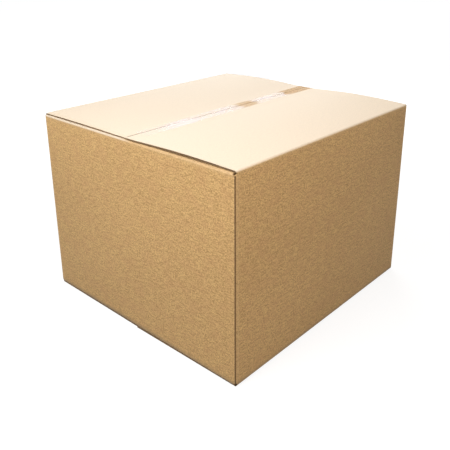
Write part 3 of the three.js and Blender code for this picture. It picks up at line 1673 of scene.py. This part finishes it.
    def washboard(self, sheet: NodeSheet) -> Socket:
        """Adds the lines that the flutes press through the paper.

        Args:
            sheet: The material's nodes.

        Returns:
            The lines' pattern.
        """
        wave = sheet.add("ShaderNodeTexWave", wave_type="BANDS", bands_direction="X")
        wave.inputs["Scale"].default_value = 2 * math.pi / (BAND_RADIANS * self.flute_pitch)
        wave.inputs["Distortion"].default_value = self.flute_waver
        sheet.join(sheet.place((1.0, 1.0, 1.0)), wave.inputs["Vector"])
        return wave.outputs["Fac"]


@dataclass(frozen=True)
class FlutingShadeFinish:
    """The rough paper of the waved layers, painted very dark as the shade in the flutes' hollows.

    Attributes:
        name: Name of the material.
        paper: Main colour, darkened as painted shade.
        dark: Colour of its darker fibres.
        pulp_scale: Repeats of its pulp in each metre.
        pulp_span: Values of the pulp between which it darkens.
        pulp_share: Share of the darker fibres at the higher one.
        roughness: Roughness of the smoother and the rougher pulp.
        relief: Height of the pulp.
    """

    name: str
    paper: Colour = (0.11, 0.066, 0.032)
    dark: Colour = (0.05, 0.03, 0.015)
    pulp_scale: float = 260.0
    pulp_span: Span = (0.35, 0.65)
    pulp_share: float = 0.7
    roughness: Span = (0.82, 0.95)
    relief: float = 0.08 * MM

    def make(self) -> bpy.types.Material:
        """Builds the material.

        Returns:
            The material.
        """
        sheet = NodeSheet.new(bpy.data.materials.new(self.name))
        pulp = sheet.noise(sheet.place((self.pulp_scale,) * 3, uv=False), detail=3.0)
        share = sheet.spread(pulp, self.pulp_span, (0.0, self.pulp_share))
        colour = sheet.mix(share, self.paper, self.dark)
        roughness = sheet.spread(pulp, NOISE_SPAN, self.roughness)
        sheet.surface(colour, roughness, sheet.bump(pulp, self.relief))
        return sheet.owner


@dataclass(frozen=True)
class TapeFinish:
    """Clear film that lies wet-dark where it sticks and milky where air lies under it.
    The milky whitish colour also stands in for the film's glare, as a painted reflection.

    Attributes:
        name: Name of the material.
        stuck: Colour of the film where it sticks.
        airy_glare: Colour of the film over trapped air, milky and also a painted glare.
        stuck_spans: Stretches along the seam where it sticks well, as start and stop.
        span_blur: Half the distance over which such a stretch starts or stops.
        span_wander: How far its ends stray.
        pocket_scale: Repeats of the air pockets in each metre, along each axis.
        pocket_span: Values of that pattern between which a pocket sets in.
        ribbon_scale: Repeats of the fine ribbons of air along the tape, the same way.
        ribbon_span: Values of that pattern between which a ribbon sets in.
        ribbon_strength: What multiplies the opacity outside a ribbon and in it.
        stuck_opacity: Opacity where it sticks.
        clear_opacity: Opacity where thin air lies under it.
        pocket_opacity: What a pocket of air adds.
        roughness: Roughness where it sticks and where air lies under it.
        left_glare_stretch: Stretch along the seam over which the left end's thinness, with less
            painted glare, fades.
        left_glare_strength: What multiplies the opacity, and so the painted glare, at the left end.
        right_glare_stretch: Stretch along the seam over which the right end grows milkier, with
            more painted glare.
        right_glare_strength: What multiplies the opacity, and so the painted glare, at the right
            end.
        ribbon_relief: Height of the ribbons.
        pocket_relief: Height of the pockets.
        refraction: Refractive index of the film.
        gloss: Strength of its reflections.
    """

    name: str
    stuck: Colour = (0.62, 0.34, 0.05)
    airy_glare: Colour = (0.95, 0.87, 0.88)
    stuck_spans: tuple[Span, ...] = ((0.047, 0.142), (0.372, 0.60))
    span_blur: float = 0.012
    span_wander: float = 0.04
    pocket_scale: Spot = (5.0, 24.0, 5.0)
    pocket_span: Span = (0.44, 0.58)
    ribbon_scale: Spot = (3.5, 110.0, 3.5)
    ribbon_span: Span = (0.35, 0.65)
    ribbon_strength: Span = (0.8, 1.15)
    stuck_opacity: float = 0.2
    clear_opacity: float = 0.12
    pocket_opacity: float = 0.24
    roughness: Span = (0.5, 0.3)
    left_glare_stretch: Span = (-0.46, -0.2)
    left_glare_strength: float = 0.5
    right_glare_stretch: Span = (0.2, 0.4)
    right_glare_strength: float = 1.3
    ribbon_relief: float = 0.08 * MM
    pocket_relief: float = 0.3 * MM
    refraction: float = 1.45
    gloss: float = 0.04

    def make(self) -> bpy.types.Material:
        """Builds the material.

        Returns:
            The material.
        """
        sheet = NodeSheet.new(bpy.data.materials.new(self.name))
        wander = sheet.noise(sheet.place(self.pocket_scale, uv=False), detail=1.0)
        ribbons = sheet.noise(sheet.place(self.ribbon_scale, uv=False))
        stray = sheet.spread(wander, NOISE_SPAN, (-self.span_wander, self.span_wander))
        x = sheet.sum(Sum.ADD, sheet.axis("X", uv=False), stray)
        airy_glare = sheet.sum(Sum.SUBTRACT, 1.0, self.stuck_share(sheet, x))
        pockets = sheet.sum(Sum.MULTIPLY, airy_glare, sheet.spread(wander, self.pocket_span, SHARE_SPAN))
        normal = sheet.bump(ribbons, self.ribbon_relief)
        normal = sheet.bump(wander, self.pocket_relief, normal)
        # Milky whitish colour over trapped air, which also paints the film's glare.
        colour = sheet.mix(airy_glare, self.stuck, self.airy_glare)
        shader = sheet.surface(colour, sheet.spread(airy_glare, SHARE_SPAN, self.roughness), normal)
        opacity = sheet.spread(airy_glare, SHARE_SPAN, (self.stuck_opacity, self.clear_opacity))
        added = sheet.sum(Sum.MULTIPLY, pockets, self.pocket_opacity)
        opacity = sheet.sum(Sum.ADD, opacity, added)
        # The opacity ramps thin the painted glare at the left end and raise it at the right.
        for strength in (
            sheet.spread(ribbons, self.ribbon_span, self.ribbon_strength),
            sheet.spread(x, self.left_glare_stretch, (self.left_glare_strength, 1.0)),
            sheet.spread(x, self.right_glare_stretch, (1.0, self.right_glare_strength)),
        ):
            opacity = sheet.sum(Sum.MULTIPLY, opacity, strength)
        sheet.join(opacity, shader.inputs["Alpha"])
        shader.inputs["IOR"].default_value = self.refraction
        shader.inputs["Specular IOR Level"].default_value = self.gloss
        return sheet.owner

    def stuck_share(self, sheet: NodeSheet, x: Socket) -> Socket:
        """Tells where the film sticks well.

        Args:
            sheet: The material's nodes.
            x: Place along the seam.

        Returns:
            1 where it sticks, and 0 where air lies under it.
        """
        blur = self.span_blur
        stuck: Socket | float = 0.0
        for start, stop in self.stuck_spans:
            after_start = sheet.spread(x, (start - blur, start + blur), SHARE_SPAN)
            after_stop = sheet.spread(x, (stop - blur, stop + blur), SHARE_SPAN)
            span = sheet.sum(Sum.SUBTRACT, after_start, after_stop)
            stuck = sheet.sum(Sum.LARGER, stuck, span)
        return stuck


@dataclass
class Carton:
    """The folded blank of double-wall board, layer by layer.

    Attributes:
        plan: Its sizes.
        outer_paper: Thickness of the outer and inner liners.
        middle_paper: Thickness of the middle liner.
        coarse_height: Height of the outer, coarse fluting.
        coarse_pitch: Distance from one crest of it to the next.
        fine_pitch: The same for the inner, fine fluting.
    """

    plan: CartonPlan
    outer_paper: float = 0.5 * MM
    middle_paper: float = 0.35 * MM
    coarse_height: float = 3.5 * MM
    coarse_pitch: float = 7.85 * MM
    fine_pitch: float = 6.2 * MM

    def build(self) -> list[bpy.types.Object]:
        """Makes the three liners and the two waved papers.

        Returns:
            The pieces.
        """
        plan = self.plan
        kraft = KraftFinish("kraft_liner").make()
        # The inner and middle liners take a darker kraft as their painted top light, so their top
        # is not paled.
        inside = KraftFinish("kraft_inner_liner", painted_top_light=(0.42, 0.26, 0.11), sheen=0.05).make()
        # The waved paper is painted dark as the shade inside the board.
        waved = FlutingShadeFinish("fluting_paper_painted_shade").make()
        middle = self.outer_paper + self.coarse_height
        inner = plan.board - self.outer_paper
        coarse_band = (self.outer_paper, middle)
        fine_band = (middle + self.middle_paper, inner)
        pieces = [
            Liner(plan, "outer_liner", 0.0, self.outer_paper).build(kraft),
            Liner(plan, "middle_liner", middle, self.middle_paper).build(inside),
            Liner(plan, "inner_liner", inner, self.outer_paper).build(inside),
            Fluting(plan, "coarse_fluting", *coarse_band, self.coarse_pitch).build(waved),
            Fluting(plan, "fine_fluting", *fine_band, self.fine_pitch).build(waved),
        ]
        for piece in pieces:
            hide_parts("folded_blank")
        return pieces


@dataclass
class Tapes:
    """The two strips of clear tape.

    Attributes:
        plan: The carton.
    """

    plan: CartonPlan

    def build(self) -> list[bpy.types.Object]:
        """Makes both strips.

        Returns:
            The pieces.
        """
        film = TapeFinish("clear_film")
        film_below = TapeFinish("clear_film_below", stuck_spans=((-1.0, 1.0),))
        top = TopTape(self.plan).build(film.make())
        bottom = BottomTape(self.plan).build(film_below.make())
        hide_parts("top_tape")
        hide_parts("bottom_tape")
        return [top, bottom]


@dataclass(frozen=True)
class Softbox:
    """One soft lamp.

    Attributes:
        name: Its name.
        position: Where it hangs.
        target: What it points at.
        width: Its width.
        height: Its height.
        power: Its power in watts.
        tint: Its colour.
    """

    name: str
    position: Spot
    target: Spot
    width: float
    height: float
    power: float
    tint: Colour = (1.0, 1.0, 1.0)

    def hang(self) -> None:
        """Puts the lamp in the scene."""
        lamp = bpy.data.lights.new(self.name, "AREA")
        lamp.shape = "RECTANGLE"
        lamp.size, lamp.size_y = self.width, self.height
        lamp.energy = self.power
        lamp.color = self.tint
        piece = bpy.data.objects.new(self.name, lamp)
        piece.location = self.position
        aim = Vector(self.target) - Vector(self.position)
        piece.rotation_euler = aim.to_track_quat("-Z", "Y").to_euler()
        bpy.context.scene.collection.objects.link(piece)


@dataclass
class Studio:
    """A pale floor, a white surround and soft lamps.

    Attributes:
        surround: Brightness of the surround as it lights the object.
        floor_size: Side of the floor.
        floor_drop: How far the floor lies under the object.
        floor_tone: How much light the floor throws back.
        near_glow: How white the floor shows by the object.
        far_glow: How white it shows away from it.
        glow_reach: Distances from the object's middle between which that changes.
    """

    surround: float = 0.22
    floor_size: float = 30.0
    floor_drop: float = 0.4 * MM
    floor_tone: float = 0.26
    near_glow: float = 0.80
    far_glow: float = 0.95
    glow_reach: Span = (1.0, 3.2)

    @property
    def lamps(self) -> list[Softbox]:
        """Lists the lamps.

        Returns:
            The lamps.
        """
        centre = (0.0, 0.0, 0.45)
        return [
            Softbox("key_lamp", (-2.05, 0.1, 2.0), centre, 1.2, 1.2, 46.0),
            Softbox("top_lamp", (0.9, -0.5, 2.6), centre, 1.4, 1.4, 14.0),
            Softbox("back_lamp", (2.9, 2.7, 1.9), (0.0, 0.0, 0.7), 3.0, 2.0, 100.0),
            Softbox("fill_lamp", (-1.25, -2.25, 1.7), centre, 1.0, 1.0, 36.0, (1.0, 0.925, 0.86)),
        ]

    def build(self) -> None:
        """Puts the floor, the surround and the lamps in the scene."""
        self.lay_floor()
        self.set_world()
        for lamp in self.lamps:
            lamp.hang()

    def lay_floor(self) -> None:
        """Lays the floor, which shows white and keeps the shadow."""
        bm = bmesh.new()
        bmesh.ops.create_grid(bm, x_segments=1, y_segments=1, size=self.floor_size / 2)
        bmesh.ops.translate(bm, verts=bm.verts, vec=(0.0, 0.0, -self.floor_drop))
        sheet = NodeSheet.new(bpy.data.materials.new("studio_floor"))
        shade = sheet.add("ShaderNodeBsdfDiffuse")
        shade.inputs["Color"].default_value = (self.floor_tone,) * 3 + (1.0,)
        glow = sheet.add("ShaderNodeEmission")
        reach = sheet.add("ShaderNodeVectorMath", operation="LENGTH")
        sheet.join(sheet.place((1.0, 1.0, 1.0), uv=False), reach.inputs[0])
        glows = (self.near_glow, self.far_glow)
        level = sheet.spread(reach.outputs["Value"], self.glow_reach, glows)
        sheet.join(sheet.sum(Sum.MULTIPLY, sheet.seen(), level), glow.inputs["Strength"])
        both = sheet.add("ShaderNodeAddShader")
        sheet.join(shade.outputs["BSDF"], both.inputs[0])
        sheet.join(glow.outputs["Emission"], both.inputs[1])
        below = sheet.add("ShaderNodeNewGeometry")
        clear = sheet.add("ShaderNodeBsdfTransparent")
        sided = sheet.add("ShaderNodeMixShader")
        sheet.join(below.outputs["Backfacing"], sided.inputs["Fac"])
        sheet.join(both.outputs["Shader"], sided.inputs[1])
        sheet.join(clear.outputs["BSDF"], sided.inputs[2])
        sheet.show(sided.outputs["Shader"])
        finish_mesh("studio_floor", bm, sheet.owner)

    def set_world(self) -> None:
        """Makes the surround white to look at and softer as a light."""
        world = bpy.data.worlds.new("studio_surround")
        bpy.context.scene.world = world
        sheet = NodeSheet.new(world)
        background = sheet.add("ShaderNodeBackground")
        background.inputs["Color"].default_value = (1.0, 1.0, 1.0, 1.0)
        level = sheet.spread(sheet.seen(), SHARE_SPAN, (self.surround, 1.0))
        sheet.join(level, background.inputs["Strength"])
        sheet.show(background.outputs["Background"], "ShaderNodeOutputWorld")


@dataclass(frozen=True)
class Viewpoint:
    """The camera, as it stands to the carton in the photograph.

    Attributes:
        position: Where it stands.
        azimuth: Turn about the vertical, in degrees, from looking along +Y.
        elevation: Angle below which it looks down, in degrees.
        roll: Turn about its own axis, in degrees.
        lens: Focal length in millimetres.
        sensor: Width of its sensor in millimetres.
        rise: Vertical shift of the frame.
    """

    position: Spot = (-1.8194, -1.6561, 1.4306)
    azimuth: float = -47.226
    elevation: float = 19.344
    roll: float = -0.396
    lens: float = 47.78
    sensor: float = 36.0
    rise: float = -0.144

    def place(self) -> None:
        """Makes the camera and gives the scene its view."""
        data = bpy.data.cameras.new("camera")
        data.lens = self.lens
        data.sensor_width = self.sensor
        data.shift_y = self.rise
        camera = bpy.data.objects.new("camera", data)
        tilt = math.radians(90.0 - self.elevation)
        aim = Euler((tilt, 0.0, math.radians(self.azimuth))).to_matrix()
        aim = aim @ Matrix.Rotation(math.radians(self.roll), 3, "Z")
        camera.rotation_euler = aim.to_euler()
        camera.location = self.position
        bpy.context.scene.collection.objects.link(camera)
        bpy.context.scene.camera = camera


def report(piece: bpy.types.Object) -> None:
    """Logs a piece's name, size in millimetres and number of faces."""
    size = ", ".join(f"{side / MM:.1f}" for side in piece.dimensions)
    log.info("%s: %s mm, %d faces", piece.name, size, len(piece.data.polygons))


def main() -> None:
    """Builds the carton's pieces in order and reports each of them."""
    logging.basicConfig(level=logging.INFO, format="%(name)s: %(message)s")
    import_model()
    bpy.context.scene.view_settings.view_transform = "Standard"
    Viewpoint().place()
    Studio().build()
    plan = CartonPlan.from_frame()
    for piece in Carton(plan).build() + Tapes(plan).build():
        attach(piece, BODY)
        report(piece)
    bpy.context.view_layer.update()


if __name__ == "__main__":
    main()
